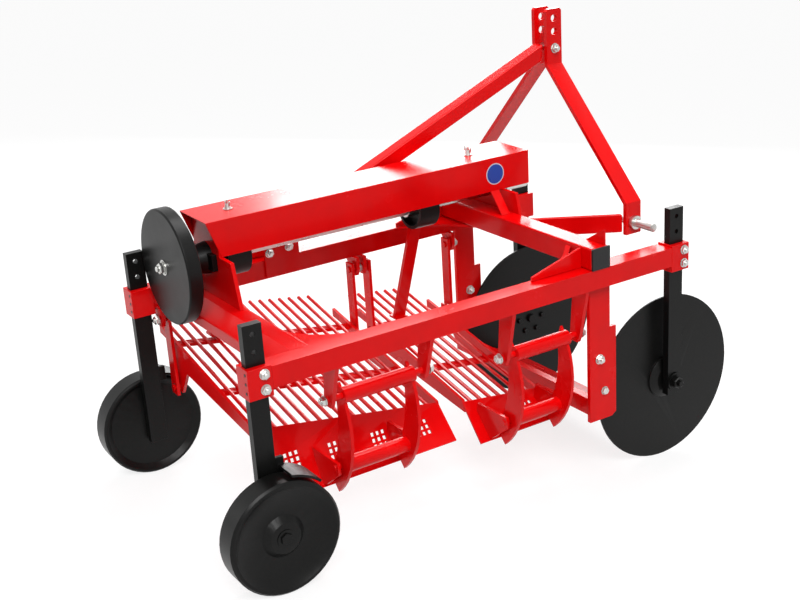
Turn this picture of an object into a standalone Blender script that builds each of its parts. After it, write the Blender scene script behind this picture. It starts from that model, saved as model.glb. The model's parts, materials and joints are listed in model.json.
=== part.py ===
"""Side-shaking potato digger for a three-point hitch, as an assembly of separate pieces.

The machine frame is level: +X to the machine's right, +Y forward, +Z up, metres.
Every piece hangs on the empty "stand", which tips the level machine nose-up until
the rear wheels and the disc coulters touch the ground together (world z = 0).
"""
import math

import bmesh
import bpy
from mathutils import Matrix, Vector

# ---- clearances -------------------------------------------------------------
GAP = 0.0003            # between pieces that touch
SINK = 0.002            # how deep welded shapes run into each other
PIN_PLAY = 0.0006       # radial play of a pin in its hole
RUN = 0.006             # free space beside moving pieces
OPEN_PLAY = 0.0040      # radial play where a closed linkage is left open

# ---- side beams and posts ---------------------------------------------------
BEAM = 0.050            # square tube of the side beams
BEAM_X = 0.315          # beam centre line each side of the machine's centre
BEAM_TOP = 0.602
BEAM_LOW = BEAM_TOP - BEAM
POST_X, POST_Y = 0.020, 0.045       # post section
POST_TOP = 0.698
CLAMP_WALL = 0.006
CLAMP_HIGH = 0.066
HUB_Z = 0.225

# ---- wheels and discs -------------------------------------------------------
WHEEL_R, WHEEL_WIDE, WHEEL_Y = 0.133, 0.062, -0.612
DISC_R, DISC_THICK, DISC_Y = 0.225, 0.005, 0.575
AXLE_R = 0.012
FLANGE_R, FLANGE_DEEP = 0.055, 0.014
SCRAPER_FROM, SCRAPER_TO, SCRAPER_THICK = 79.0, 48.0, 0.006     # degrees up from straight ahead
CLAMP_HALF = POST_Y / 2 + GAP + CLAMP_WALL
BEAM_REAR = WHEEL_Y + CLAMP_HALF + GAP
BEAM_FRONT = DISC_Y - CLAMP_HALF - GAP

# ---- main tube, hitch and cover ---------------------------------------------
TUBE = 0.055            # square tube across the machine
TUBE_REAR = 0.285
TUBE_RIGHT, TUBE_LEFT = 0.338, -0.430
TUBE_LOW = BEAM_TOP + GAP
TUBE_TOP = TUBE_LOW + TUBE
TUBE_FRONT = TUBE_REAR + TUBE
HITCH_X = -0.160        # centre line of hitch and drive shaft
HITCH_Y = 0.562         # middle of the hitch bars
HITCH_BAR, HITCH_THICK = 0.050, 0.012
EAR_HALF = 0.032        # ear's outer face from the hitch centre line
LOWER_HALF = 0.342      # lower hitch plate's outer face from the centre line
EAR_BEND_Z, LOWER_BEND_Z = 1.006, 0.685
EAR_TOP, HITCH_LOW = 1.152, 0.600
EAR_HOLES, EAR_HOLE_R = (1.127, 1.092), 0.0098
EAR_CORNER = 0.016      # cut off each top corner of an ear
SPACER_Z = 1.048
LOWER_PIN_Z, LOWER_PIN_R, LOWER_PIN_OUT = 0.632, 0.011, 0.075
ARM_HALF, LOWER_ARM_THICK = 0.190, 0.010    # lower arm's foot on the main tube
BRACE = 0.040
BRACE_TOP = (HITCH_X, HITCH_Y, 1.050)
BRACE_FOOT = (-0.328, -0.215, 0.640)

# ---- drive ------------------------------------------------------------------
SHAFT_X, SHAFT_Z, SHAFT_R = HITCH_X + 0.004, 0.695, 0.016
SHAFT_REAR, SHAFT_FRONT = -0.592, 0.470
JOURNAL_R, THROW = 0.024, 0.008
FLYWHEEL_R, FLYWHEEL_THICK, FLYWHEEL_REAR = 0.140, 0.036, -0.597
COVER_WIDE, COVER_HIGH, COVER_SHEET = 0.146, 0.090, 0.002
COVER_TOP = 0.801
COVER_LOW = COVER_TOP - COVER_HIGH
COVER_REAR, COVER_FRONT = -0.514, 0.430
COVER_LEAN = 0.033      # the rear end leans back towards the top
BEARING_PLATE_Y, BEARING_PLATE_THICK = -0.487, 0.010
BEARING_PLATE_HALF, SHOULDER_HALF = 0.157, 0.129
REAR_MEMBER = (-0.552, -0.466)      # rear cross member, from and to along Y
REAR_MEMBER_HIGH = 0.050

# ---- sieve ------------------------------------------------------------------
SIEVE_NEAR, SIEVE_FAR = 0.124, -0.466
SIDE_FAR = -0.372       # far end of a sieve's side strips
RISE = math.tan(math.radians(12.0))  # bars climb towards their free ends
BAR_R = 0.005
BAR_STEP = 0.030
STRIP_THICK = 0.008
PLATE_FOOT_X, PLATE_DROP, PLATE_SHEET = 0.200, 0.262, 0.005    # lower end of the near plate
LINK = Vector((-0.033, 0.0, -0.190))  # upper to lower pin of a rocker
DROP = Vector((0.0, 0.0, -0.190))     # upper to lower pin of a far hanger
PIN_R = 0.008
ROCKER_X = 0.290
HANGER_X, HANGER_Z = -0.285, 0.521
ROCKER_TUBE_R, ROCKER_PLATE = 0.019, 0.008
HANGER_WIDE, HANGER_THICK = 0.034, 0.008

# Columns: name, rear end, front end, edge height at rear, edge height at front,
# rocker tube rear, rocker tube front, rocker pin height
SIEVES = (
    ("rear", -0.548, -0.036, 0.358, 0.272, -0.397, -0.209, 0.462),
    ("front", 0.036, 0.276, 0.251, 0.220, 0.082, 0.245, 0.428),
)
FIN_THICK = 0.010
FIN_STAND_OFF = 0.030   # from the rocker's tube end to the fin that holds its pin
PIN_DEEP = 0.022        # how far a pin reaches into its tube or hanger
PIN_STUB = 0.008        # pin end that stands out of its fin
SWING_REACH = 0.010     # how far a sieve and its conrod move to each side
RING_WALL, RING_LONG = 0.008, 0.060
RING_R = JOURNAL_R + THROW + SWING_REACH + RUN + RING_WALL

RED = ("red paint", (0.72, 0.010, 0.012, 1.0), 0.28, 0.0)
BLACK = ("black paint", (0.020, 0.020, 0.021, 1.0), 0.42, 0.0)
ZINC = ("zinc", (0.62, 0.62, 0.60, 1.0), 0.32, 1.0)
CAP = ("black plastic", (0.022, 0.022, 0.023, 1.0), 0.50, 0.0)

STANCE = math.asin((DISC_R - WHEEL_R) / (DISC_Y - WHEEL_Y))


# ---- shapes -----------------------------------------------------------------
def loft(sections):
    """Solid through closed sections of equal point count, capped at both ends."""
    bm = bmesh.new()
    rings = [[bm.verts.new(p) for p in section] for section in sections]
    count = len(rings[0])
    for low, high in zip(rings, rings[1:]):
        for i in range(count):
            j = (i + 1) % count
            bm.faces.new((low[i], low[j], high[j], high[i]))
    bm.faces.new(rings[0][::-1])
    bm.faces.new(rings[-1])
    bmesh.ops.recalc_face_normals(bm, faces=bm.faces)
    bmesh.ops.triangulate(bm, faces=[face for face in bm.faces if len(face.verts) == 4])
    return bm


def box(low, high):
    bm = bmesh.new()
    size = Vector(high) - Vector(low)
    middle = (Vector(high) + Vector(low)) / 2
    bmesh.ops.create_cube(bm, size=1.0, matrix=Matrix.Translation(middle) @ Matrix.Diagonal((*size, 1.0)))
    return bm


def prism(axis, outline, low, high):
    """Outline in the plane across the axis ("X", "Y" or "Z"), run from low to high."""
    place = {
        "X": lambda a, b, t: (t, a, b),
        "Y": lambda a, b, t: (a, t, b),
        "Z": lambda a, b, t: (a, b, t),
    }[axis]
    return loft([[place(a, b, t) for a, b in outline] for t in (low, high)])


def rod(start, end, radius, sides=20, phase=0.0):
    """Round bar between two points; phase turns its corners."""
    start, end = Vector(start), Vector(end)
    run = (end - start).normalized()
    first = Vector((0, 1, 0)) if abs(run.y) < 0.9 else Vector((1, 0, 0))
    second = run.cross(first).normalized()
    first = second.cross(run)
    angles = [phase + math.tau * i / sides for i in range(sides)]
    spokes = [first * math.cos(a) + second * math.sin(a) for a in angles]
    return loft([[p + s * radius for s in spokes] for p in (start, end)])


def turned(axis, centre, profile, sides=48, phase=0.0):
    """Turned solid about X or Y through centre; profile rows are (along, radius)."""
    cx, cy, cz = centre
    angles = [phase + math.tau * i / sides for i in range(sides)]
    rings = []
    for along, radius in profile:
        if axis == "X":
            ring = [(cx + along, cy + radius * math.cos(a), cz + radius * math.sin(a)) for a in angles]
        else:
            ring = [(cx + radius * math.cos(a), cy + along, cz + radius * math.sin(a)) for a in angles]
        rings.append(ring)
    return loft(rings)


def bar_between(start, end, wide, thick, across=(0, 1, 0)):
    """Flat or square bar from start to end; wide runs along across."""
    start, end = Vector(start), Vector(end)
    side = Vector(across).normalized()
    run = (end - start).normalized()
    side = (side - run * side.dot(run)).normalized()
    up = run.cross(side)
    corners = [(-1, -1), (1, -1), (1, 1), (-1, 1)]
    offsets = [side * (a * wide / 2) + up * (b * thick / 2) for a, b in corners]
    return loft([[p + o for o in offsets] for p in (start, end)])


def arc(start, end, bulge, steps):
    """Points on a circular arc; bulge is its height to the left of the way."""
    start, end = Vector(start), Vector(end)
    chord = end - start
    half = chord.length / 2
    radius = (half * half + bulge * bulge) / (2 * abs(bulge))
    left = Vector((-chord.y, chord.x)).normalized() * (1 if bulge > 0 else -1)
    centre = (start + end) / 2 - left * (radius - abs(bulge))
    a0 = math.atan2(start.y - centre.y, start.x - centre.x)
    a1 = math.atan2(end.y - centre.y, end.x - centre.x)
    sweep = (a1 - a0 + math.pi) % math.tau - math.pi
    angles = [a0 + sweep * i / steps for i in range(steps + 1)]
    return [(centre.x + radius * math.cos(a), centre.y + radius * math.sin(a)) for a in angles]


# ---- pieces -----------------------------------------------------------------
MATERIALS = {}


def material(finish):
    name, colour, rough, metal = finish
    if name not in MATERIALS:
        made = bpy.data.materials.new(name)
        made.use_nodes = True
        shader = made.node_tree.nodes["Principled BSDF"]
        shader.inputs["Base Color"].default_value = colour
        shader.inputs["Roughness"].default_value = rough
        shader.inputs["Metallic"].default_value = metal
        MATERIALS[name] = made
    return MATERIALS[name]


def mesh_object(name, bm):
    mesh = bpy.data.meshes.new(name)
    bm.to_mesh(mesh)
    bm.free()
    made = bpy.data.objects.new(name, mesh)
    bpy.context.scene.collection.objects.link(made)
    return made


def combine(base, shapes, operation):
    """Join shapes to base, or cut them from it, with one exact Boolean."""
    group = bpy.data.collections.new("operands")
    bpy.context.scene.collection.children.link(group)
    for shape in shapes:
        mesh = bpy.data.meshes.new("operand")
        shape.to_mesh(mesh)
        shape.free()
        group.objects.link(bpy.data.objects.new("operand", mesh))
    boolean = base.modifiers.new(operation.lower(), "BOOLEAN")
    boolean.operation = operation
    boolean.operand_type = "COLLECTION"
    boolean.collection = group
    boolean.solver = "EXACT"
    bpy.context.view_layer.update()
    solved = base.evaluated_get(bpy.context.evaluated_depsgraph_get())
    result = bpy.data.meshes.new_from_object(solved)
    base.modifiers.clear()
    old, base.data = base.data, result
    bpy.data.meshes.remove(old)
    for operand in list(group.objects):
        bpy.data.objects.remove(operand, do_unlink=True)
    bpy.data.collections.remove(group)


def piece(name, finish, welds, cuts=(), pivot=(0, 0, 0)):
    """One named solid: welded shapes less the cuts, with its origin at the pivot."""
    made = mesh_object(name, welds[0])
    if len(welds) > 1:
        combine(made, welds[1:], "UNION")
    if cuts:
        combine(made, cuts, "DIFFERENCE")
    made.data.transform(Matrix.Translation(-Vector(pivot)))
    made.location = pivot
    made.data.materials.clear()
    made.data.materials.append(material(finish))
    made.data.shade_smooth()
    made.data.set_sharp_from_angle(angle=math.radians(30))
    made.parent = STAND
    return made


for old_object in list(bpy.data.objects):
    bpy.data.objects.remove(old_object, do_unlink=True)

# The stand's origin is the middle of the machine's outline on the ground.
RIGHT_EDGE = BEAM_X + POST_X / 2 + RUN + WHEEL_WIDE
LEFT_EDGE = HITCH_X - LOWER_HALF - LOWER_PIN_OUT
STAND = bpy.data.objects.new("stand", None)
bpy.context.scene.collection.objects.link(STAND)
TIP = Matrix.Rotation(STANCE, 4, "X")
REAR_END = (TIP @ Vector((0, WHEEL_Y, HUB_Z))).y - WHEEL_R
FRONT_END = (TIP @ Vector((0, DISC_Y, HUB_Z))).y + DISC_R
HUB_RAISED = (TIP @ Vector((0, DISC_Y, HUB_Z))).z
STAND.location = (-(RIGHT_EDGE + LEFT_EDGE) / 2, -(REAR_END + FRONT_END) / 2, DISC_R - HUB_RAISED)
STAND.rotation_euler = (STANCE, 0, 0)


# ---- side beams with the fins that carry the rocker pins ---------------------
def pin_fin(y, x, pin_z, top_from, top_to, pin_from, pin_to):
    """Plate under a beam with a pin through its lower end."""
    outline = [
        (top_from, BEAM_LOW + SINK),
        (x - 0.018, pin_z),
        (x - 0.010, pin_z - 0.018),
        (x + 0.010, pin_z - 0.018),
        (x + 0.018, pin_z),
        (top_to, BEAM_LOW + SINK),
    ]
    plate = prism("Y", outline, y - FIN_THICK / 2, y + FIN_THICK / 2)
    return [plate, rod((x, pin_from, pin_z), (x, pin_to, pin_z), PIN_R, 16)]


right_welds, left_welds = (
    [box((x - BEAM / 2, BEAM_REAR, BEAM_LOW), (x + BEAM / 2, BEAM_FRONT, BEAM_TOP))]
    for x in (BEAM_X, -BEAM_X)
)
for name, y0, y1, z0, z1, tube0, tube1, pin_z in SIEVES:
    for end, sign in ((tube0, 1), (tube1, -1)):
        fin_y = end - sign * FIN_STAND_OFF
        reach = sorted((fin_y - sign * PIN_STUB, end + sign * PIN_DEEP))
        right_welds += pin_fin(fin_y, ROCKER_X, pin_z, BEAM_X - 0.030, BEAM_X + 0.022, *reach)
    for end, sign in ((y0, -1), (y1, 1)):
        hanger_y = end + sign * (RUN + HANGER_THICK / 2)
        fin_y = hanger_y + sign * (RUN + HANGER_THICK / 2 + FIN_THICK / 2)
        reach = sorted((fin_y + sign * PIN_STUB, hanger_y - sign * (HANGER_THICK / 2 + 0.004)))
        left_welds += pin_fin(fin_y, HANGER_X, HANGER_Z, -BEAM_X - 0.015, HANGER_X + 0.018, *reach)
piece("beam_right", RED, right_welds)
piece("beam_left", RED, left_welds)

# ---- posts in their clamps, wheels and discs ---------------------------------
POST_BELOW_AXLE = 0.035
POST_HOLE_R, POST_HOLES = 0.006, (0.022, 0.062)     # holes this far below the post's top
DISC_AXLE = 0.034       # axle beyond the post on the disc side
# Columns: end of the machine, y of the post, side of the post that the axle is on
for end_name, post_y, axle_side in (("rear", WHEEL_Y, 1), ("front", DISC_Y, -1)):
    for side_name, side in (("right", 1), ("left", -1)):
        x = side * BEAM_X
        hole_x = POST_X / 2 + GAP
        hole_y = POST_Y / 2 + GAP
        out_x, out_y = BEAM / 2 + 0.001, CLAMP_HALF
        clamp_low = BEAM_TOP - CLAMP_HIGH
        sleeve = box((x - out_x, post_y - out_y, clamp_low), (x + out_x, post_y + out_y, BEAM_TOP + 0.004))
        bore = box(
            (x - hole_x, post_y - hole_y, clamp_low - 0.01),
            (x + hole_x, post_y + hole_y, BEAM_TOP + 0.02),
        )
        piece(f"clamp_{end_name}_{side_name}", RED, [sleeve], [bore])

        post = box(
            (x - POST_X / 2, post_y - POST_Y / 2, HUB_Z - POST_BELOW_AXLE),
            (x + POST_X / 2, post_y + POST_Y / 2, POST_TOP),
        )
        out = side * axle_side
        face = x + out * POST_X / 2
        reach = WHEEL_WIDE + RUN if end_name == "rear" else DISC_AXLE
        axle = rod((x, post_y, HUB_Z), (face + out * reach, post_y, HUB_Z), AXLE_R, 20)
        holes = [
            rod((x - POST_X, post_y, POST_TOP - drop), (x + POST_X, post_y, POST_TOP - drop), POST_HOLE_R, 12)
            for drop in POST_HOLES
        ]
        piece(f"post_{end_name}_{side_name}", BLACK, [post, axle], holes)

        hub = (face + out * RUN, post_y, HUB_Z)
        hole_r = AXLE_R + PIN_PLAY
        if end_name == "rear":
            rows = (
                (0.0, 0.045), (0.0, 0.050), (0.012, 0.110), (0.0, 0.124), (0.0, 0.129), (0.005, WHEEL_R),
                (0.057, WHEEL_R), (WHEEL_WIDE, 0.128), (WHEEL_WIDE, 0.122), (0.048, 0.106), (0.042, 0.050),
                (WHEEL_WIDE - 0.006, 0.036),
            )
            body = turned("X", hub, [(out * a, r) for a, r in rows], 48, -STANCE)
            bore = rod((hub[0] - 0.01 * out, post_y, HUB_Z), (hub[0] + 0.09 * out, post_y, HUB_Z), hole_r, 20)
            piece(f"wheel_{side_name}", BLACK, [body], [bore], hub)
            post_front = post_y + POST_Y / 2
            lo, hi = sorted((x, x + out * POST_X / 2))
            foot_z = HUB_Z + WHEEL_R
            arm = box((lo, post_front + GAP, foot_z - 0.012), (hi, post_front + 0.020, foot_z + 0.026))
            under, over = WHEEL_R + RUN + 0.001, WHEEL_R + RUN + 0.001 + SCRAPER_THICK
            steps = [math.radians(SCRAPER_FROM + (SCRAPER_TO - SCRAPER_FROM) * i / 6) for i in range(7)]
            guard = [(post_y + under * math.cos(a), HUB_Z + under * math.sin(a)) for a in steps]
            guard += [(post_y + over * math.cos(a), HUB_Z + over * math.sin(a)) for a in reversed(steps)]
            lo, hi = sorted((x, x + out * (POST_X / 2 + RUN + WHEEL_WIDE - 0.004)))
            piece(f"scraper_{side_name}", BLACK, [arm, prism("X", guard, lo, hi)])
        else:
            plate_at = (hub[0] + out * FLANGE_DEEP, post_y, HUB_Z)
            disc = turned("X", plate_at, [(0.0, DISC_R), (out * DISC_THICK, DISC_R)], 64, -STANCE)
            flange_rows = ((0.0, 0.034), (0.008, FLANGE_R), (FLANGE_DEEP + 0.001, FLANGE_R))
            flange = turned("X", hub, [(out * a, r) for a, r in flange_rows], 32)
            bore = rod((hub[0] - 0.02 * out, post_y, HUB_Z), (hub[0] + 0.05 * out, post_y, HUB_Z), hole_r, 20)
            piece(f"disc_{side_name}", BLACK, [disc, flange], [bore], hub)

# ---- main tube across the machine, caps and gussets ---------------------------
CAP_LONG = 0.006
tube = box((TUBE_LEFT, TUBE_REAR, TUBE_LOW), (TUBE_RIGHT, TUBE_FRONT, TUBE_TOP))
piece("main_tube", RED, [tube])
for side_name, x0, x1 in (
    ("right", TUBE_RIGHT + GAP, TUBE_RIGHT + CAP_LONG),
    ("left", TUBE_LEFT - CAP_LONG, TUBE_LEFT - GAP),
):
    piece(f"tube_cap_{side_name}", CAP, [box((x0, TUBE_REAR, TUBE_LOW), (x1, TUBE_FRONT, TUBE_TOP))])
for side_name, side in (("right", 1), ("left", -1)):
    x = side * BEAM_X
    outline = [
        (TUBE_REAR - GAP, TUBE_LOW + GAP),
        (TUBE_REAR - GAP, TUBE_TOP - 0.004),
        (TUBE_REAR - 0.150, TUBE_LOW + 0.010),
        (TUBE_REAR - 0.150, TUBE_LOW + GAP),
    ]
    edge = x - side * 0.018
    piece(f"gusset_{side_name}", RED, [prism("X", outline, edge - 0.004, edge + 0.004)])

# ---- rear cross member ----------------------------------------------------------
inner = BEAM_X - BEAM / 2 - GAP
member = prism("X", [
    (REAR_MEMBER[0], BEAM_TOP - REAR_MEMBER_HIGH), (REAR_MEMBER[1], BEAM_TOP - REAR_MEMBER_HIGH),
    (REAR_MEMBER[1], BEAM_TOP), (REAR_MEMBER[1] - 0.045, BEAM_TOP), (REAR_MEMBER[0], BEAM_TOP - 0.022),
], -inner, inner)
piece("rear_cross_member", RED, [member])

# ---- hitch: two bent bars, lower arms, pins, spacer, top brace -------------------
hitch_rear, hitch_front = HITCH_Y - HITCH_BAR / 2, HITCH_Y + HITCH_BAR / 2
for side_name, side in (("right", 1), ("left", -1)):
    ear, low = EAR_HALF, LOWER_HALF
    t = HITCH_THICK
    outline = [
        (ear, EAR_TOP), (ear, EAR_BEND_Z), (low, LOWER_BEND_Z), (low, HITCH_LOW),
        (low - t, HITCH_LOW), (low - t, LOWER_BEND_Z - 0.004),
        (ear - t, EAR_BEND_Z - 0.004), (ear - t, EAR_TOP),
    ]
    bar = prism("Y", [(HITCH_X + side * a, b) for a, b in outline], hitch_rear, hitch_front)
    ear_lo, ear_hi = sorted((HITCH_X + side * (ear - t - 0.01), HITCH_X + side * (ear + 0.01)))
    holes = [rod((ear_lo, HITCH_Y, z), (ear_hi, HITCH_Y, z), EAR_HOLE_R, 20) for z in EAR_HOLES]
    corner = EAR_CORNER
    for y_edge, way in ((hitch_rear, 1), (hitch_front, -1)):
        holes.append(prism(
            "X",
            [(y_edge - way * 0.01, EAR_TOP - corner), (y_edge + way * corner, EAR_TOP + 0.01),
             (y_edge - way * 0.01, EAR_TOP + 0.01)],
            ear_lo, ear_hi,
        ))
    plate_out = HITCH_X + side * low
    plate_in = HITCH_X + side * (low - t)
    pin_hole = LOWER_PIN_R + GAP
    hole_from, hole_to = plate_in - side * 0.01, plate_out + side * 0.01
    holes.append(rod((hole_from, HITCH_Y, LOWER_PIN_Z), (hole_to, HITCH_Y, LOWER_PIN_Z), pin_hole, 20))
    piece(f"hitch_bar_{side_name}", RED, [bar], holes)

    pin = turned("X", (plate_out, HITCH_Y, LOWER_PIN_Z), [
        (-side * (t + 0.022), LOWER_PIN_R), (side * LOWER_PIN_OUT, LOWER_PIN_R)], 20)
    collar = turned("X", (plate_out, HITCH_Y, LOWER_PIN_Z), [
        (side * GAP, 0.018), (side * 0.012, 0.018)], 20)
    nut = turned("X", (plate_in, HITCH_Y, LOWER_PIN_Z), [
        (-side * GAP, 0.017), (-side * 0.014, 0.017)], 6)
    piece(f"hitch_pin_{side_name}", ZINC, [pin, collar, nut])

    foot = Vector((HITCH_X + side * ARM_HALF, TUBE_FRONT + GAP, (TUBE_LOW + TUBE_TOP) / 2))
    head = Vector((HITCH_X + side * (low - t - 0.006 - GAP), hitch_rear - GAP, foot.z))
    trim = [
        box((-1, TUBE_FRONT - 0.1, 0.5), (1, TUBE_FRONT + GAP, 0.8)),
        box((-1, hitch_rear - GAP, 0.5), (1, hitch_rear + 0.1, 0.8)),
    ]
    start = foot - Vector((side * 0.006, 0.006, 0))
    end = head + Vector((side * 0.007, 0.010, 0))
    arm = bar_between(start, end, HITCH_BAR, LOWER_ARM_THICK, (0, 0, 1))
    piece(f"lower_arm_{side_name}", RED, [arm], trim)
piece("top_link_spacer", ZINC, [rod(
    (HITCH_X - EAR_HALF + HITCH_THICK + GAP, HITCH_Y, SPACER_Z),
    (HITCH_X + EAR_HALF - HITCH_THICK - GAP, HITCH_Y, SPACER_Z), 0.010)])

brace_width = 2 * (EAR_HALF - HITCH_THICK) - 2 * GAP
top, foot = Vector(BRACE_TOP), Vector(BRACE_FOOT)
along = (top - foot).normalized()
brace = bar_between(foot - along * 0.1, top, brace_width, BRACE, (1, 0, 0))
trim = [
    box((-1, hitch_rear - GAP, 0.5), (1, 1, 1.5)),
    box((-1, -1, 0), (1, 0.2, BEAM_TOP + GAP)),
]
piece("top_brace", RED, [brace], trim)
bracket_x = -BEAM_X + BEAM / 2
bracket = box(
    (bracket_x + GAP, foot.y - 0.060, BEAM_LOW + 0.004),
    (bracket_x + 0.008, foot.y + 0.040, BEAM_TOP + 0.040),
)
piece("brace_bracket", RED, [bracket])

# ---- bearing plates, drive shaft, flywheel and cover ------------------------------
neck = COVER_WIDE / 2 - COVER_SHEET - 0.001
shaft_room = SHAFT_R + PIN_PLAY
for name, out, face, floor_z in (
    ("rear", -1, BEARING_PLATE_Y, BEAM_TOP + GAP),
    ("front", 1, TUBE_FRONT + GAP + BEARING_PLATE_THICK, TUBE_LOW),
):
    shape = [
        (SHAFT_X - BEARING_PLATE_HALF, floor_z), (SHAFT_X + BEARING_PLATE_HALF, floor_z),
        (SHAFT_X + SHOULDER_HALF, COVER_LOW - GAP), (SHAFT_X + neck, COVER_LOW - GAP),
        (SHAFT_X + neck, COVER_TOP - COVER_SHEET - GAP), (SHAFT_X - neck, COVER_TOP - COVER_SHEET - GAP),
        (SHAFT_X - neck, COVER_LOW - GAP), (SHAFT_X - SHOULDER_HALF, COVER_LOW - GAP),
    ]
    y0, y1 = sorted((face, face - out * BEARING_PLATE_THICK))
    hole = rod((SHAFT_X, y0 - 0.02, SHAFT_Z), (SHAFT_X, y1 + 0.02, SHAFT_Z), shaft_room, 24)
    piece(f"bearing_plate_{name}", RED, [prism("Y", shape, y0, y1)], [hole])
    near_y, far_y = face + out * GAP, face + out * 0.036
    block = turned("Y", (SHAFT_X, 0, SHAFT_Z), [(near_y, 0.040), (far_y, 0.034)], 32)
    low_y, high_y = sorted((near_y, face + out * 0.014))
    ears = box((SHAFT_X - 0.058, low_y, SHAFT_Z - 0.020), (SHAFT_X + 0.058, high_y, SHAFT_Z + 0.020))
    hole = rod((SHAFT_X, face - 0.05, SHAFT_Z), (SHAFT_X, face + 0.05, SHAFT_Z), shaft_room, 24)
    piece(f"bearing_{name}", BLACK, [block, ears], [hole])

shaft = rod((SHAFT_X, SHAFT_REAR, SHAFT_Z), (SHAFT_X, SHAFT_FRONT, SHAFT_Z), SHAFT_R, 24)
shaft_pivot = (SHAFT_X, 0, SHAFT_Z)
CONRODS = (("rear", -0.425), ("front", 0.120))
CONROD_FOOT_X = -0.300
journals = [
    rod((SHAFT_X + s * THROW, y - 0.040, SHAFT_Z), (SHAFT_X + s * THROW, y + 0.040, SHAFT_Z), JOURNAL_R, 24)
    for s, (name, y) in zip((1, -1), CONRODS)
]
piece("drive_shaft", ZINC, [shaft] + journals, (), shaft_pivot)
wheel_front = FLYWHEEL_REAR + FLYWHEEL_THICK
fly = turned("Y", (SHAFT_X, FLYWHEEL_REAR, SHAFT_Z), [
    (0.0, FLYWHEEL_R - 0.003), (0.003, FLYWHEEL_R), (FLYWHEEL_THICK - 0.003, FLYWHEEL_R),
    (FLYWHEEL_THICK, FLYWHEEL_R - 0.003)], 64)
seat = rod((SHAFT_X, SHAFT_REAR - GAP, SHAFT_Z), (SHAFT_X, wheel_front + 0.02, SHAFT_Z), SHAFT_R + GAP, 24)
piece("flywheel", BLACK, [fly], [seat], shaft_pivot)

c0, c1 = SHAFT_X - COVER_WIDE / 2, SHAFT_X + COVER_WIDE / 2
side = [
    (COVER_REAR + COVER_LEAN, COVER_LOW), (COVER_FRONT, COVER_LOW),
    (COVER_FRONT, COVER_TOP), (COVER_REAR, COVER_TOP),
]
outer = prism("X", side, c0, c1)
hollow = box(
    (c0 + COVER_SHEET, COVER_REAR - 0.1, COVER_LOW - 0.1),
    (c1 - COVER_SHEET, COVER_FRONT + 0.1, COVER_TOP - COVER_SHEET),
)
piece("cover", RED, [outer], [hollow])

# ---- share between the legs --------------------------------------------------------
LEG_LOW, LEG_THICK, LEG_STEP = 0.183, 0.012, 0.430
CARRIER_REAR, CARRIER_FRONT = 0.318, 0.340
# Columns: side, which way is out, rear edge, front edge
for side_name, side, leg_rear, leg_front in (("right", 1, 0.300, 0.372), ("left", -1, 0.330, 0.400)):
    x0, x1 = sorted((side * (BEAM_X - 0.003), side * (BEAM_X - 0.003 - LEG_THICK)))
    outline = [
        (leg_rear, BEAM_LOW - GAP), (leg_front - 0.006, BEAM_LOW - GAP), (leg_front - 0.006, LEG_STEP),
        (leg_front + 0.014, LEG_STEP), (leg_front + 0.014, LEG_LOW + 0.010),
        (leg_front, LEG_LOW), (leg_rear, LEG_LOW),
    ]
    piece(f"share_leg_{side_name}", RED, [prism("X", outline, x0, x1)])
carrier_half = BEAM_X - 0.003 - LEG_THICK - GAP
blade_half = BEAM_X - POST_X / 2 - RUN - FLANGE_DEEP - DISC_THICK - 2 * RUN
carrier = box((-carrier_half, CARRIER_REAR, 0.190), (carrier_half, CARRIER_FRONT, 0.235))
blade_outline = [
    (CARRIER_FRONT - 0.006, 0.205), (CARRIER_FRONT - 0.006, 0.217),
    (0.500, 0.140), (0.520, 0.118), (0.500, 0.126),
]
blade = prism("X", blade_outline, -blade_half, blade_half)
piece("share", RED, [carrier, blade])

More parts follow.
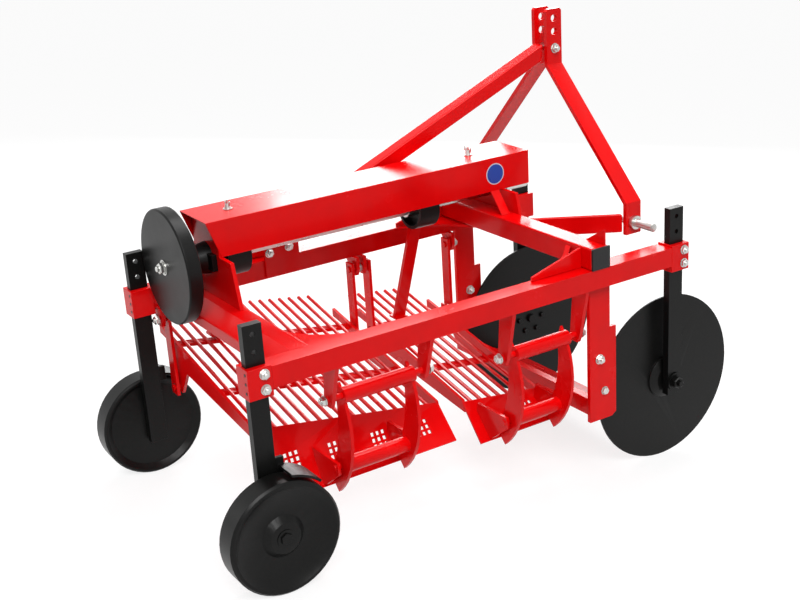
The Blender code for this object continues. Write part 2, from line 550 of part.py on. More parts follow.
# ---- sieves, rockers, hangers and conrods -------------------------------------------
for index, (name, y0, y1, z0, z1, tube0, tube1, pin_z) in enumerate(SIEVES):
    slope = (z1 - z0) / (y1 - y0)

    def edge(y):
        return z0 + slope * (y - y0)

    low_pin = Vector((ROCKER_X, 0, pin_z)) + LINK
    foot_low = pin_z - PLATE_DROP
    # rocker: two crescents on an upper and a lower tube
    crescents = []
    tip = Vector((ROCKER_X - 0.050, pin_z - 0.262))
    crown = Vector((ROCKER_X - 0.016, pin_z + 0.026))
    outer_arc = arc(crown, tip, 0.058, 12)
    inner_arc = arc((tip.x - 0.032, tip.y + 0.034), (ROCKER_X - 0.028, pin_z - 0.008), -0.022, 10)
    outline = outer_arc + inner_arc
    tubes = [
        rod((ROCKER_X, tube0, pin_z), (ROCKER_X, tube1, pin_z), ROCKER_TUBE_R, 20),
        rod((low_pin.x, tube0, low_pin.z), (low_pin.x, tube1, low_pin.z), ROCKER_TUBE_R, 20),
    ]
    for y in (tube0, tube1 - ROCKER_PLATE):
        crescents.append(prism("Y", outline, y, y + ROCKER_PLATE))
    sockets = []
    for y, sign in ((tube0, 1), (tube1, -1)):
        for x, z in ((ROCKER_X, pin_z), (low_pin.x, low_pin.z)):
            a, b = sorted((y - sign * 0.02, y + sign * (PIN_DEEP + 0.004)))
            sockets.append(rod((x, a, z), (x, b, z), PIN_R + PIN_PLAY, 16))
    pivot = (ROCKER_X, (tube0 + tube1) / 2, pin_z)
    piece(f"{name}_rocker", RED, crescents + tubes, sockets, pivot)

    # sieve: folded edge plate, side strips, cross rod and bars
    def plate_section(y):
        a = Vector((SIEVE_NEAR, y, edge(y) + 0.004))
        b = Vector((PLATE_FOOT_X, y, foot_low))
        t = (b - a).cross(Vector((0, 1, 0))).normalized() * (PLATE_SHEET / 2)
        return [a - t, b - t, b + t, a + t]

    welds = [loft([plate_section(y0 + 0.001), plate_section(y1 - 0.001)])]
    far_pin = Vector((HANGER_X, 0, HANGER_Z)) + DROP
    for y, inside in ((y0, 1), (y1, -1)):
        a, b = sorted((y, y + inside * STRIP_THICK))
        near_z = edge(y)
        far_z = near_z + (SIEVE_NEAR - SIDE_FAR) * RISE
        lug_low = min(far_z - 0.026, far_pin.z - 0.014)
        strip = [
            (SIEVE_NEAR + 0.012, near_z - 0.020), (SIEVE_NEAR + 0.002, near_z + 0.010),
            (SIDE_FAR, far_z + 0.010), (SIDE_FAR, far_z - 0.012),
            (far_pin.x - 0.015, max(far_z - 0.024, lug_low + 0.006)), (far_pin.x - 0.015, lug_low),
            (far_pin.x + 0.015, lug_low), (far_pin.x + 0.060, near_z + 0.026),
        ]
        welds.append(prism("Y", strip, a, b))
        lug_from = (far_pin.x - 0.014, a + 0.001, lug_low + 0.002)
        welds.append(box(lug_from, (far_pin.x + 0.014, b - 0.001, far_pin.z + 0.015)))
        stub = sorted((y + inside * 0.004, y - inside * (RUN + HANGER_THICK + 0.004)))
        welds.append(rod((far_pin.x, stub[0], far_pin.z), (far_pin.x, stub[1], far_pin.z), PIN_R, 16))
    # lugs beyond the rocker's ends with pins into its lower tube
    for y, sign in ((tube0, -1), (tube1, 1)):
        lug_y = y + sign * (RUN + 0.005)
        lug = [
            (SIEVE_NEAR + 0.012, foot_low + 0.018), (SIEVE_NEAR + 0.026, low_pin.z + 0.014),
            (low_pin.x + 0.012, low_pin.z + 0.016), (low_pin.x + 0.016, low_pin.z - 0.012),
            (PLATE_FOOT_X - 0.003, foot_low + 0.002),
        ]
        welds.append(prism("Y", lug, lug_y - 0.004, lug_y + 0.004))
        reach = sorted((lug_y + sign * 0.006, y - sign * PIN_DEEP))
        welds.append(rod((low_pin.x, reach[0], low_pin.z), (low_pin.x, reach[1], low_pin.z), PIN_R, 16))
    bar_count = int((y1 - y0 - 2 * STRIP_THICK) / BAR_STEP)
    margin = ((y1 - y0) - (bar_count - 1) * BAR_STEP) / 2
    for i in range(bar_count):
        y = y0 + margin + i * BAR_STEP
        z = edge(y)
        near = (SIEVE_NEAR + 0.002, y, z)
        far = (SIEVE_FAR, y, z + (SIEVE_NEAR - SIEVE_FAR) * RISE)
        welds.append(rod(near, far, BAR_R, 8))
    for rod_x in (-0.060, -0.300):
        lift = (SIEVE_NEAR - rod_x) * RISE - BAR_R - 0.003
        start, end = ((rod_x, y, edge(y) + lift) for y in (y0 + 0.002, y1 - 0.002))
        welds.append(bar_between(start, end, 0.030, 0.008, (1, 0, 0)))
    # conrod: ring round the eccentric and a flat arm down to the sieve
    conrod_name, ring_y = CONRODS[index]
    pivot = (low_pin.x, (tube0 + tube1) / 2, low_pin.z)
    piece(f"{name}_sieve", RED, welds, (), pivot)
    foot_y = y0 + margin + round((ring_y - y0 - margin) / BAR_STEP) * BAR_STEP
    foot_z = edge(foot_y) + (SIEVE_NEAR - CONROD_FOOT_X + 0.020) * RISE + BAR_R * math.hypot(1, RISE) + GAP
    ring_ends = [(SHAFT_X, ring_y + half, SHAFT_Z) for half in (-RING_LONG / 2, RING_LONG / 2)]
    room_ends = [(SHAFT_X, ring_y + half, SHAFT_Z) for half in (-RING_LONG, RING_LONG)]
    ring = rod(*ring_ends, RING_R, 32)
    room = rod(*room_ends, RING_R - RING_WALL, 32)
    foot = Vector((CONROD_FOOT_X, foot_y, foot_z + 0.001))
    centre = Vector((SHAFT_X, ring_y, SHAFT_Z))
    start = centre + (foot - centre).normalized() * (RING_R - 0.004)
    rod_arm = bar_between(start, foot, 0.036, 0.010, (0, 1, 0))
    foot_pad = box(
        (CONROD_FOOT_X - 0.020, foot_y - 0.018, foot_z),
        (CONROD_FOOT_X + 0.020, foot_y + 0.018, foot_z + 0.006),
    )
    piece(f"{name}_conrod", RED, [ring, rod_arm, foot_pad], [room], pivot)

    # hangers on the far side
    for end_name, y, sign in (("rear", y0, -1), ("front", y1, 1)):
        hanger_y = y + sign * (RUN + HANGER_THICK / 2)
        upper = Vector((HANGER_X, hanger_y, HANGER_Z))
        lower = upper + DROP
        along = DROP.normalized()
        strap = bar_between(upper - along * 0.018, lower + along * 0.018, HANGER_WIDE, HANGER_THICK, (1, 0, 0))
        holes = [
            rod((p.x, p.y - 0.02, p.z), (p.x, p.y + 0.02, p.z), PIN_R + play, 16)
            for p, play in ((upper, PIN_PLAY), (lower, OPEN_PLAY))
        ]
        piece(f"{name}_hanger_{end_name}", RED, [strap], holes, (HANGER_X, hanger_y, HANGER_Z))
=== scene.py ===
import json
import math

import bmesh
import bpy
from mathutils import Matrix, Vector


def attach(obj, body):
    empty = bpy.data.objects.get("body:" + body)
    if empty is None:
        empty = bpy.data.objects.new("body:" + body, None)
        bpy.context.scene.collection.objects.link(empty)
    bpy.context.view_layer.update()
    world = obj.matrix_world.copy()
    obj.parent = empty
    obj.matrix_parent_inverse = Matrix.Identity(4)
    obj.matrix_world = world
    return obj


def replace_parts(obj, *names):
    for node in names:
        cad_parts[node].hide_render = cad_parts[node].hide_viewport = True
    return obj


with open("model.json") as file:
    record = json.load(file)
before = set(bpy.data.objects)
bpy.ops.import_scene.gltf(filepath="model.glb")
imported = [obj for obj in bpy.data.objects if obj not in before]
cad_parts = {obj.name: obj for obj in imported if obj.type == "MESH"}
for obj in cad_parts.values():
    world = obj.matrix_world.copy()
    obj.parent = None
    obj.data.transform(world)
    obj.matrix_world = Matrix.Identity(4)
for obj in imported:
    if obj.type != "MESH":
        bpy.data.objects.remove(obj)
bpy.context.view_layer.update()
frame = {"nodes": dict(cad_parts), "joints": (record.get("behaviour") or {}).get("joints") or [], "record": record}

scene = bpy.context.scene

# ---- painted frame ----------------------------------------------------------
# Beams, tube and hitch wear a glossy red machine paint over rolled steel, so every
# long edge is round and catches the light. One shader group gives all finishes
# their sprayed surface: faint clouds, orange peel and a trace of dust.
def spray_group():
    group = bpy.data.node_groups.new("sprayed_surface", "ShaderNodeTree")
    for name, kind in (
        ("Color", "NodeSocketColor"), ("Roughness", "NodeSocketFloat"), ("Peel", "NodeSocketFloat"),
        ("Peel Scale", "NodeSocketFloat"), ("Dust", "NodeSocketFloat"),
    ):
        group.interface.new_socket(name, in_out="INPUT", socket_type=kind)
    for name, kind in (
        ("Color", "NodeSocketColor"), ("Roughness", "NodeSocketFloat"), ("Normal", "NodeSocketVector"),
    ):
        group.interface.new_socket(name, in_out="OUTPUT", socket_type=kind)
    nodes, links = group.nodes, group.links
    source, sink = nodes.new("NodeGroupInput"), nodes.new("NodeGroupOutput")
    where = nodes.new("ShaderNodeTexCoord")

    def noise(scale, detail):
        made = nodes.new("ShaderNodeTexNoise")
        made.inputs["Scale"].default_value = scale
        made.inputs["Detail"].default_value = detail
        links.new(where.outputs["Object"], made.inputs["Vector"])
        return made

    def spread(value, to_min, to_max):
        made = nodes.new("ShaderNodeMapRange")
        made.inputs["From Min"].default_value = 0.3
        made.inputs["From Max"].default_value = 0.7
        made.inputs["To Min"].default_value = to_min
        made.inputs["To Max"].default_value = to_max
        links.new(value, made.inputs["Value"])
        return made.outputs["Result"]

    clouds, peel, specks = noise(9.0, 6.0), noise(300.0, 2.0), noise(160.0, 4.0)
    links.new(source.outputs["Peel Scale"], peel.inputs["Scale"])
    toned = nodes.new("ShaderNodeVectorMath")
    toned.operation = "SCALE"
    links.new(source.outputs["Color"], toned.inputs[0])
    links.new(spread(clouds.outputs["Fac"], 0.90, 1.06), toned.inputs["Scale"])
    dust = nodes.new("ShaderNodeMath")
    dust.operation = "MULTIPLY"
    links.new(spread(specks.outputs["Fac"], 0.0, 1.0), dust.inputs[0])
    links.new(source.outputs["Dust"], dust.inputs[1])
    dusted = nodes.new("ShaderNodeMix")
    dusted.data_type = "RGBA"
    dusted.inputs["B"].default_value = (0.42, 0.38, 0.34, 1.0)
    links.new(dust.outputs["Value"], dusted.inputs["Factor"])
    links.new(toned.outputs["Vector"], dusted.inputs["A"])
    links.new(dusted.outputs["Result"], sink.inputs["Color"])
    rough = nodes.new("ShaderNodeMath")
    rough.operation = "ADD"
    links.new(spread(clouds.outputs["Fac"], -0.05, 0.05), rough.inputs[0])
    links.new(source.outputs["Roughness"], rough.inputs[1])
    links.new(rough.outputs["Value"], sink.inputs["Roughness"])
    bump = nodes.new("ShaderNodeBump")
    bump.inputs["Distance"].default_value = 0.0004
    links.new(source.outputs["Peel"], bump.inputs["Strength"])
    links.new(peel.outputs["Fac"], bump.inputs["Height"])
    links.new(bump.outputs["Normal"], sink.inputs["Normal"])
    return group


SPRAY = spray_group()


def finish(name, color, rough, peel, peel_scale, dust=0.0, metal=0.0, coat=0.0, specular=0.25):
    """A sprayed, plated or moulded finish; plain values sit on the shader itself."""
    made = bpy.data.materials.new(name)
    made.use_nodes = True
    nodes, links = made.node_tree.nodes, made.node_tree.links
    shader = nodes["Principled BSDF"]
    shader.inputs["Metallic"].default_value = metal
    shader.inputs["Coat Weight"].default_value = coat
    shader.inputs["Coat Roughness"].default_value = 0.08
    shader.inputs["Specular IOR Level"].default_value = specular
    spray = nodes.new("ShaderNodeGroup")
    spray.node_tree = SPRAY
    for socket, value in (
        ("Color", color), ("Roughness", rough), ("Peel", peel), ("Peel Scale", peel_scale), ("Dust", dust),
    ):
        spray.inputs[socket].default_value = value
    for socket in ("Roughness", "Normal"):
        links.new(spray.outputs[socket], shader.inputs[socket])
    links.new(spray.outputs["Color"], shader.inputs["Base Color"])
    return made


LOOKS = {
    "red_paint": finish(
        "red_gloss_paint", (0.76, 0.0008, 0.0016, 1),
        0.24, 0.12, 260.0, dust=0.002, coat=0.06, specular=0.13),
    "black_paint": finish(
        "black_paint", (0.0030, 0.0031, 0.0030, 1), 0.34, 0.25, 420.0, dust=0.005, specular=0.17),
    "zinc": finish(
        "bright_zinc", (0.60, 0.60, 0.58, 1), 0.27, 0.15, 500.0, metal=1.0, specular=0.5),
    "black_plastic": finish(
        "cap_plastic", (0.010, 0.010, 0.011, 1), 0.5, 0.35, 700.0, dust=0.01, specular=0.3),
    "sticker_blue": finish("sticker_blue", (0.02, 0.07, 0.40, 1), 0.28, 0.02, 200.0),
}
node_slot = {part["node"]: part["material_slot"] for part in frame["record"]["subparts"]}
node_body = {n: body for body, names in frame["record"]["behaviour"]["bodies"].items() for n in names}
for node, obj in frame["nodes"].items():
    obj.data.materials.clear()
    obj.data.materials.append(LOOKS[node_slot[node]])


SHARP_FROM, ROUND_FROM = math.radians(35), math.radians(38)


def show(name, mesh, body, slot, look=None):
    """Link a finished mesh whose place is in its vertices."""
    mesh.shade_smooth()
    mesh.set_sharp_from_angle(angle=SHARP_FROM)
    mesh.materials.clear()
    mesh.materials.append(look or LOOKS[slot])
    obj = bpy.data.objects.new(name, mesh)
    scene.collection.objects.link(obj)
    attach(obj, body)
    return obj


def merged(node):
    """The node's own shape as one closed mesh without needless edges."""
    bm = bmesh.new()
    bm.from_mesh(frame["nodes"][node].data)
    bmesh.ops.remove_doubles(bm, verts=bm.verts, dist=1e-5)
    bmesh.ops.dissolve_limit(bm, angle_limit=math.radians(0.5), verts=bm.verts, edges=bm.edges)
    mesh = bpy.data.meshes.new(f"{node}_shown")
    bm.to_mesh(mesh)
    bm.free()
    return mesh


def softened(node, width, mesh=None):
    """Show a node with its edges rounded by width."""
    obj = show(f"{node}_shown", mesh or merged(node), node_body[node], node_slot[node])
    rounding = obj.modifiers.new("rounding", "BEVEL")
    rounding.width = width
    rounding.segments = 3
    rounding.limit_method = "ANGLE"
    rounding.angle_limit = ROUND_FROM
    rounding.harden_normals = True
    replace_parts(obj, node)


# Columns: edge radius, nodes that have it
for radius, nodes_in_row in (
    (0.0012, "hitch_pin_left hitch_pin_right"),
    (0.0045, "main_tube top_brace lower_arm_right lower_arm_left"),
    (0.0030, "beam_right beam_left rear_cross_member"),
    (0.0014, "hitch_bar_left hitch_bar_right brace_bracket gusset_left gusset_right"),
    (0.0012, "share_leg_left share_leg_right bearing_plate_rear bearing_plate_front share"),
    (0.0014, "tube_cap_left tube_cap_right top_link_spacer"),
    (0.0009, "cover"),
):
    for node in nodes_in_row.split():
        softened(node, radius)

# ---- corner plates and cover strap -------------------------------------------
# Flat plates with a hollow front edge brace the corners where cross member and main
# tube meet the side beams. A slanted strap ties the cover's front to the tube.
# Level sizes are carried to the tipped machine by `level`, found from the drive.
BEAM_FACE, BEAM_TOP, PLATE = 0.290, 0.602, 0.006
MEMBER_FRONT, TUBE_REAR, TUBE_TOP = -0.4657, 0.2847, 0.6574
COVER_HALF, COVER_TOP = 0.073, 0.801
joint = {j["name"]: j for j in frame["joints"]}
drive_axis = Vector(joint["drive_spin"]["axis"])
shaft_level = Vector((-0.156, 0.0, 0.695))
tip = Matrix.Rotation(math.atan2(drive_axis.z, drive_axis.y), 4, "X")
level = Matrix.Translation(Vector(joint["drive_spin"]["pos_m"]) - tip @ shaft_level) @ tip


def level_piece(name, bm, body, slot, look=None):
    """Carry level bmesh work to the machine and show it."""
    bm.transform(level)
    bmesh.ops.recalc_face_normals(bm, faces=bm.faces)
    mesh = bpy.data.meshes.new(name)
    bm.to_mesh(mesh)
    bm.free()
    return show(name, mesh, body, slot, look)


def slab(bm, outline, thickness):
    """Closed plate: the outline's face, pushed out along the thickness."""
    face = bm.faces.new([bm.verts.new(p) for p in outline])
    pushed = bmesh.ops.extrude_face_region(bm, geom=[face])
    moved = [v for v in pushed["geom"] if isinstance(v, bmesh.types.BMVert)]
    bmesh.ops.translate(bm, verts=moved, vec=thickness)


def corner_outline(x, y, way_x, way_y, along, across, hollow):
    """Triangle in a corner with a circular bite in its long side."""
    ends = Vector((x + way_x * across, y)), Vector((x, y + way_y * along))
    middle = (ends[0] + ends[1]) / 2
    inward = (Vector((x, y)) - middle).normalized() * hollow
    points = [(x, y)]
    for i in range(9):
        t = i / 8
        spot = ends[0].lerp(ends[1], t) + inward * math.sin(math.pi * t)
        points.append((spot.x, spot.y))
    return [(px, py, BEAM_TOP - PLATE - 0.002) for px, py in points]


# Columns: name, corner x and y, ways into the frame, lengths along and across, hollow
for name, x, y, way_x, way_y, along, across, hollow in (
    ("corner_rear_right", BEAM_FACE, MEMBER_FRONT, -1, 1, 0.130, 0.110, 0.020),
    ("corner_rear_left", -BEAM_FACE, MEMBER_FRONT, 1, 1, 0.085, 0.070, 0.012),
    ("corner_front_left", -BEAM_FACE, TUBE_REAR + 0.030, 1, -1, 0.190, 0.150, 0.030),
):
    bm = bmesh.new()
    slab(bm, corner_outline(x, y, way_x, way_y, along, across, hollow), (0, 0, PLATE))
    level_piece(name, bm, "frame", "red_paint")

for name, outline, thickness in (
    # fin standing on the tube's top near its right end
    ("tube_end_fin", [
        (0.334, 0.334, TUBE_TOP), (0.334, 0.334, 0.6970), (0.268, 0.334, TUBE_TOP),
    ], (0, -0.005, 0)),
    # short slanted brace behind the tube, beside the gusset
    ("tube_brace", [
        (0.262, 0.2843, 0.6480), (0.262, 0.2843, 0.6330), (0.287, 0.2250, 0.6030), (0.287, 0.2420, 0.6030),
    ], (-0.018, 0, 0)),
):
    bm = bmesh.new()
    slab(bm, outline, thickness)
    level_piece(name, bm, "frame", "red_paint")

STRAP_REAR, STRAP_FRONT, STRAP_HEAD, STRAP_THICK, CLEAR = 0.300, 0.326, 0.713, 0.004, 0.0004
bm = bmesh.new()
strap_x, strap_foot = shaft_level.x + COVER_HALF + CLEAR, TUBE_TOP + CLEAR
slab(bm, [
    (strap_x, STRAP_REAR, STRAP_HEAD), (strap_x, STRAP_FRONT, STRAP_HEAD),
    (strap_x + 0.045, STRAP_FRONT, strap_foot), (strap_x + 0.045, STRAP_REAR, strap_foot),
], (STRAP_THICK, 0, 0))
level_piece("cover_strap", bm, "frame", "red_paint")

# ---- fasteners of frame, hitch and cover --------------------------------------
# Zinc-plated hex bolts: a flat washer, a hexagon with its corners turned off and,
# under a nut, the end of the thread. Wing nuts hold the cover down.
def upright(at, axis):
    return Matrix.Translation(at) @ Vector(axis).to_track_quat("Z", "Y").to_matrix().to_4x4()


def drum(bm, at, axis, radius, low, high, sides=24, turned=0.0, end_radius=None):
    """Short cylinder or cone from low to high along the axis."""
    spot = upright(at, axis) @ Matrix.Translation((0, 0, (low + high) / 2)) @ Matrix.Rotation(turned, 4, "Z")
    bmesh.ops.create_cone(
        bm, cap_ends=True, segments=sides, radius1=radius,
        radius2=radius if end_radius is None else end_radius, depth=high - low, matrix=spot)


def hex_bolt(bm, at, axis, size, thread=0.0, turned=0.0):
    """Washer, hexagon and thread end for a bolt of this diameter."""
    wide = size * 0.90
    drum(bm, at, axis, size, 0.0003, size * 0.16)
    drum(bm, at, axis, wide, size * 0.16, size * 0.66, 6, turned)
    drum(bm, at, axis, wide, size * 0.66, size * 0.80, 6, turned, wide * 0.84)
    if thread:
        drum(bm, at, axis, size * 0.46, size * 0.80, size * 0.80 + thread, 16)
        drum(bm, at, axis, size * 0.46, size * 0.80 + thread, size * 0.88 + thread, 16, 0.0, size * 0.36)


CLAMP_FACE, POST_YS = 0.3412, (-0.612, 0.575)
bolts = [
    ((side * CLAMP_FACE, y + 0.010, z), (side, 0, 0), 0.012, 0.003)
    for y in POST_YS for side in (1, -1) for z in (0.590, 0.555)
]
bolts += [
    # at, axis, size, thread: share legs, ears, brace bracket, hitch plates
    ((0.3122, 0.330, 0.352), (1, 0, 0), 0.013, 0.005),
    ((0.3122, 0.346, 0.262), (1, 0, 0), 0.011, 0.0),
    ((-0.2998, 0.372, 0.360), (1, 0, 0), 0.013, 0.005),
    ((-0.3122, 0.372, 0.360), (-1, 0, 0), 0.013, 0.0),
    ((-0.128, 0.562, 1.048), (1, 0, 0), 0.013, 0.006),
    ((-0.192, 0.562, 1.048), (-1, 0, 0), 0.013, 0.0),
    ((-0.2818, -0.262, 0.622), (1, 0, 0), 0.012, 0.004),
    ((-0.2818, -0.205, 0.628), (1, 0, 0), 0.012, 0.004),
]
bm = bmesh.new()
for turn_by, (at, axis, size, thread) in enumerate(bolts):
    hex_bolt(bm, Vector(at), axis, size, thread, 0.4 * turn_by)
level_piece("frame_bolts", bm, "frame", "zinc")

WING_Y = (-0.420, 0.285)
bm = bmesh.new()
for y in WING_Y:
    base = Vector((shaft_level.x, y, COVER_TOP))
    drum(bm, base, (0, 0, 1), 0.012, 0.0003, 0.002)
    drum(bm, base, (0, 0, 1), 0.008, 0.002, 0.013, 16, 0, 0.006)
    drum(bm, base, (0, 0, 1), 0.0035, 0.013, 0.023, 12)
    for side in (1, -1):
        wing = bmesh.ops.create_uvsphere(bm, u_segments=14, v_segments=8, radius=1.0)
        lean = Matrix.Rotation(side * math.radians(28), 4, "Y")
        spot = Matrix.Translation(base + Vector((side * 0.0110, 0, 0.014)))
        shape = spot @ lean @ Matrix.Diagonal((0.0042, 0.0018, 0.009, 1))
        bmesh.ops.transform(bm, matrix=shape, verts=wing["verts"])
level_piece("wing_nuts", bm, "frame", "zinc")

# blank round sticker with a pale rim on the cover's right side
STICKER_AT, STICKER_R = Vector((shaft_level.x + COVER_HALF, 0.318, 0.757)), 0.0285
bm = bmesh.new()
drum(bm, STICKER_AT, (1, 0, 0), STICKER_R, 0.0002, 0.0005, 48)
pale = finish("sticker_rim", (0.62, 0.66, 0.74, 1), 0.30, 0.02, 200.0)
level_piece("sticker_rim", bm, "frame", "sticker_blue", pale)
bm = bmesh.new()
drum(bm, STICKER_AT, (1, 0, 0), STICKER_R * 0.90, 0.0006, 0.0009, 48)
level_piece("sticker", bm, "frame", "sticker_blue")

# ---- clamps and posts -----------------------------------------------------------
# Each post stands in a welded sleeve, and a row of three spare holes runs down the
# sleeve's rear face, drawn as thin black discs: painted shade for the holes' dark insides.
for end in ("front", "rear"):
    for side in ("left", "right"):
        softened(f"clamp_{end}_{side}", 0.0016)
        softened(f"post_{end}_{side}", 0.0018)
BEAM_X, CLAMP_REAR, TOP_HOLE, HOLES_APART = 0.315, 0.0291, 0.594, 0.021
bm = bmesh.new()
for y in POST_YS:
    for x in (BEAM_X, -BEAM_X):
        for i in range(3):
            rear_face = Vector((x + 0.015, y - CLAMP_REAR, TOP_HOLE - HOLES_APART * i))
            drum(bm, rear_face, (0, -1, 0), 0.0036, -0.0006, 0.0003, 16)
# the black discs are painted shade for the holes, not cut openings
level_piece("clamp_hole_shade_discs", bm, "frame", "black_paint")

# ---- wheels, discs and scrapers ---------------------------------------------------
# Cast wheels under flat nuts that lie within the tyre's width, and plain discs bolted
# through a ring of six to their flanges. Nuts on this gear are painted black with it.
WHEEL_HUB, DISC_HUB, FLANGE_FACE, BOLT_CIRCLE = 0.0560, 0.0262, 0.0195, 0.042
for side in ("left", "right"):
    softened(f"scraper_{side}", 0.0015)
    softened(f"wheel_{side}", 0.0022)
    softened(f"disc_{side}", 0.0008)
for side_name, side in (("right", 1), ("left", -1)):
    hub = level.inverted() @ Vector(joint[f"wheel_{side_name}_spin"]["pos_m"])
    bm = bmesh.new()
    hub_face = hub + Vector((side * WHEEL_HUB, 0, 0))
    drum(bm, hub_face, (side, 0, 0), 0.0210, 0.0003, 0.0018, 32)
    drum(bm, hub_face, (side, 0, 0), 0.0140, 0.0017, 0.0057, 6)
    level_piece(f"axle_nut_{side_name}", bm, "frame", "black_paint")
    hub = level.inverted() @ Vector(joint[f"disc_{side_name}_spin"]["pos_m"])
    bm = bmesh.new()
    for i in range(6):
        angle = math.tau * i / 6
        around = Vector((0, BOLT_CIRCLE * math.cos(angle), BOLT_CIRCLE * math.sin(angle)))
        hex_bolt(bm, hub + Vector((-side * FLANGE_FACE, 0, 0)) + around, (-side, 0, 0), 0.009)
    level_piece(f"disc_bolts_{side_name}", bm, f"disc_{side_name}", "black_paint")
    bm = bmesh.new()
    drum(bm, hub + Vector((side * DISC_HUB, 0, 0)), (side, 0, 0), 0.0240, 0.0003, 0.0040, 32)
    hex_bolt(bm, hub + Vector((side * (DISC_HUB + 0.004), 0, 0)), (side, 0, 0), 0.018, 0.008)
    level_piece(f"disc_nut_{side_name}", bm, "frame", "black_paint")

# ---- drive ------------------------------------------------------------------------
# A flywheel on the shaft's rear end, with the shaft in two bearings under the cover.
# The flywheel's nut and washer turn with the shaft.
softened("flywheel", 0.0012)
for node in ("drive_shaft", "bearing_rear", "bearing_front"):
    softened(node, 0.0015)
bm = bmesh.new()
WASHER_THICK = 0.003
fly_face = Vector((shaft_level.x, -0.597, shaft_level.z))
drum(bm, fly_face, (0, -1, 0), 0.0190, 0.0002, WASHER_THICK, 40)
hex_bolt(bm, fly_face + Vector((0, -WASHER_THICK, 0)), (0, -1, 0), 0.0155, 0.005)
level_piece("flywheel_nut", bm, "drive", "zinc")

# ---- rockers, hangers and sieves -----------------------------------------------------
# Cut plates and tubes with dressed edges. The near plates of the sieves are punched
# with blocks of square holes, and bolts hold rockers and hangers in their fins.
for node in ("rear_rocker", "front_rocker"):
    softened(node, 0.0016)
RING_REACH = 0.0575     # everything this near the shaft's axis belongs to a conrod's ring
for node in ("rear_conrod", "front_conrod"):
    mesh = merged(node)
    ring_faces = []
    for face in mesh.polygons:
        centre = level.inverted() @ face.center
        ring_faces.append(math.hypot(centre.x - shaft_level.x, centre.z - shaft_level.z) < RING_REACH)
    softened(node, 0.0012, mesh)
    mesh.materials.append(LOOKS["black_paint"])
    for face, in_ring in zip(mesh.polygons, ring_faces):
        face.material_index = int(in_ring)
for node in ("rear_hanger_rear", "rear_hanger_front", "front_hanger_rear", "front_hanger_front"):
    softened(node, 0.0012)
bm = bmesh.new()
for x, y, z, way in (
    (0.290, -0.440, 0.462, -1), (0.290, -0.166, 0.462, 1),
    (0.290, 0.039, 0.428, -1), (0.290, 0.288, 0.428, 1),
    (-0.285, -0.581, 0.521, -1), (-0.285, -0.003, 0.521, 1),
    (-0.285, 0.003, 0.521, -1), (-0.285, 0.309, 0.521, 1),
):
    hex_bolt(bm, Vector((x, y, z)), (0, way, 0), 0.013, 0.003)
level_piece("pivot_bolts", bm, "frame", "zinc")

HOLE, HOLE_STEP, PLATE_HEAD_X, PLATE_FOOT_X = 0.009, 0.015, 0.124, 0.200
# Columns: sieve, plate's rear and front end, edge height at both, foot of the plate,
# and where the blocks of holes are centred
for node, y0, y1, z0, z1, foot_z, centres in (
    ("rear_sieve", -0.548, -0.036, 0.358, 0.272, 0.200, (-0.470, -0.350, -0.230, -0.110)),
    ("front_sieve", 0.036, 0.276, 0.251, 0.220, 0.166, (0.096, 0.216)),
):
    cutter_bm = bmesh.new()
    for centre_y in centres:
        top = z0 + (z1 - z0) * (centre_y - y0) / (y1 - y0) + 0.004
        head, foot = Vector((PLATE_HEAD_X, centre_y, top)), Vector((PLATE_FOOT_X, centre_y, foot_z))
        down = (foot - head).normalized()
        out = down.cross(Vector((0, 1, 0)))
        turned = Matrix((down, Vector((0, 1, 0)), out)).transposed().to_4x4()
        for i in range(3):
            for k in (-1, 0, 1):
                spot = head.lerp(foot, 0.5) + down * (i - 1) * HOLE_STEP + Vector((0, k * HOLE_STEP, 0))
                shape = Matrix.Translation(spot) @ turned @ Matrix.Diagonal((HOLE, HOLE, 0.03, 1))
                bmesh.ops.create_cube(cutter_bm, size=1.0, matrix=shape)
    cutter_bm.transform(level)
    cutter_mesh = bpy.data.meshes.new("cutter")
    cutter_bm.to_mesh(cutter_mesh)
    cutter_bm.free()
    cutter = bpy.data.objects.new("cutter", cutter_mesh)
    scene.collection.objects.link(cutter)
    target = bpy.data.objects.new("target", merged(node))
    scene.collection.objects.link(target)
    punch = target.modifiers.new("punch", "BOOLEAN")
    punch.operation = "DIFFERENCE"
    punch.solver = "EXACT"
    punch.object = cutter
    bpy.context.view_layer.update()
    solved = target.evaluated_get(bpy.context.evaluated_depsgraph_get())
    punched = bpy.data.meshes.new_from_object(solved)
    bpy.data.objects.remove(target, do_unlink=True)
    bpy.data.objects.remove(cutter, do_unlink=True)
    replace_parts(show(f"{node}_shown", punched, node_body[node], "red_paint"), node)

# ---- studio: floor, light and camera ----------------------------------------------------
# A white floor that keeps a soft shadow and a white room. A key from the right, a lamp
# overhead, one behind for the sheen on top faces, and a weak fill from the rear.
bm = bmesh.new()
bmesh.ops.create_grid(bm, x_segments=1, y_segments=1, size=14.0)
mesh = bpy.data.meshes.new("floor")
bm.to_mesh(mesh)
bm.free()
floor = bpy.data.objects.new("floor", mesh)
scene.collection.objects.link(floor)


def seen_factor(tree):
    """1 for camera, glossy and transmission rays, otherwise 0."""
    path = tree.nodes.new("ShaderNodeLightPath")
    total = path.outputs["Is Camera Ray"]
    for other in ("Is Glossy Ray", "Is Transmission Ray"):
        either = tree.nodes.new("ShaderNodeMath")
        either.operation = "MAXIMUM"
        tree.links.new(total, either.inputs[0])
        tree.links.new(path.outputs[other], either.inputs[1])
        total = either.outputs["Value"]
    return total


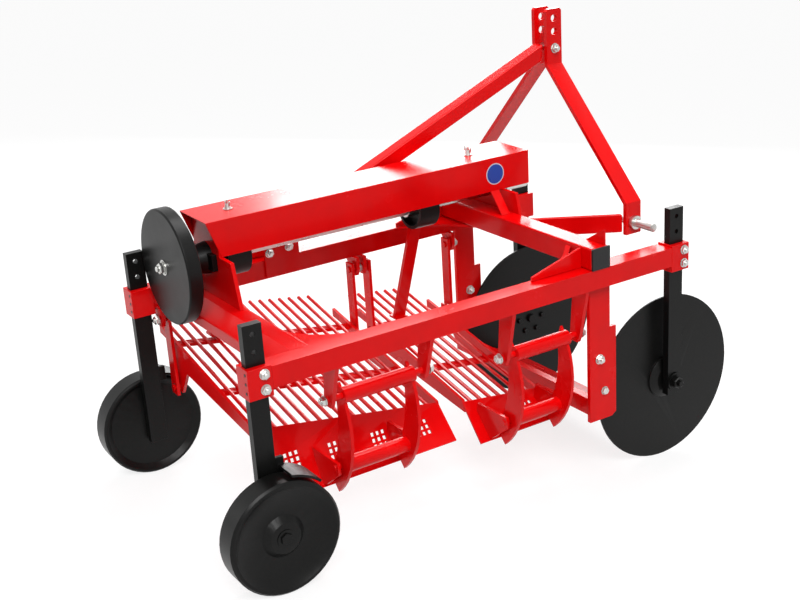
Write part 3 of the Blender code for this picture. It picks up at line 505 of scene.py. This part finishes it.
FLOOR_GLOW, GLOW_STRENGTH = 0.60, 1.34     # share of the floor's look that is plain white
floor_look = bpy.data.materials.new("floor_white")
floor_look.use_nodes = True
tree = floor_look.node_tree
shader = tree.nodes["Principled BSDF"]
shader.inputs["Base Color"].default_value = (0.62, 0.62, 0.62, 1)
shader.inputs["Roughness"].default_value = 1.0
shader.inputs["Specular IOR Level"].default_value = 0.0
glow = tree.nodes.new("ShaderNodeEmission")
glow.inputs["Color"].default_value = (1.0, 1.0, 1.0, 1)
glow.inputs["Strength"].default_value = GLOW_STRENGTH
share = tree.nodes.new("ShaderNodeMath")
share.operation = "MULTIPLY"
share.inputs[1].default_value = FLOOR_GLOW
tree.links.new(seen_factor(tree), share.inputs[0])
blend = tree.nodes.new("ShaderNodeMixShader")
tree.links.new(share.outputs["Value"], blend.inputs["Fac"])
tree.links.new(shader.outputs["BSDF"], blend.inputs[1])
tree.links.new(glow.outputs["Emission"], blend.inputs[2])
tree.links.new(blend.outputs["Shader"], tree.nodes["Material Output"].inputs["Surface"])
floor.data.materials.append(floor_look)

world = bpy.data.worlds.new("studio")
scene.world = world
world.use_nodes = True
tree = world.node_tree
tree.nodes.clear()
blend = tree.nodes.new("ShaderNodeMixShader")
tree.links.new(seen_factor(tree), blend.inputs["Fac"])
for slot_index, strength in ((1, 0.24), (2, 1.0)):
    room = tree.nodes.new("ShaderNodeBackground")
    room.inputs["Color"].default_value = (1.0, 1.0, 1.0, 1)
    room.inputs["Strength"].default_value = strength
    tree.links.new(room.outputs["Background"], blend.inputs[slot_index])
out = tree.nodes.new("ShaderNodeOutputWorld")
tree.links.new(blend.outputs["Shader"], out.inputs["Surface"])

AIM = Vector((0, 0, 0.4))
# Columns: name, place, power, size; all aim at the machine's middle
for name, at, power, size in (
    ("key", (2.9, -1.2, 2.5), 16.0, 1.4),
    ("overhead", (-0.3, 0.4, 3.2), 52.0, 1.6),
    ("behind", (-3.0, 2.2, 1.75), 110.0, 2.2),
    ("fill", (-1.6, -3.0, 1.6), 12.0, 1.6),
):
    lamp = bpy.data.lights.new(name, "AREA")
    lamp.energy = power
    lamp.size = size
    holder = bpy.data.objects.new(name, lamp)
    holder.location = at
    holder.rotation_euler = (AIM - Vector(at)).to_track_quat("-Z", "Y").to_euler()
    scene.collection.objects.link(holder)

sun = bpy.data.lights.new("even_light", "SUN")
sun.energy = 1.7
sun.angle = math.radians(30)
holder = bpy.data.objects.new("even_light", sun)
holder.rotation_euler = Vector((-0.62, 0.30, -0.72)).to_track_quat("-Z", "Y").to_euler()
scene.collection.objects.link(holder)

camera_data = bpy.data.cameras.new("camera")
camera_data.lens = 58.8
camera_data.sensor_width = 36.0
camera = bpy.data.objects.new("camera", camera_data)
camera.location = (2.704, -1.793, 1.4815)
camera.rotation_euler = (math.radians(71.987), math.radians(-0.293), math.radians(57.163))
scene.collection.objects.link(camera)
scene.camera = camera
scene.view_settings.view_transform = "Standard"
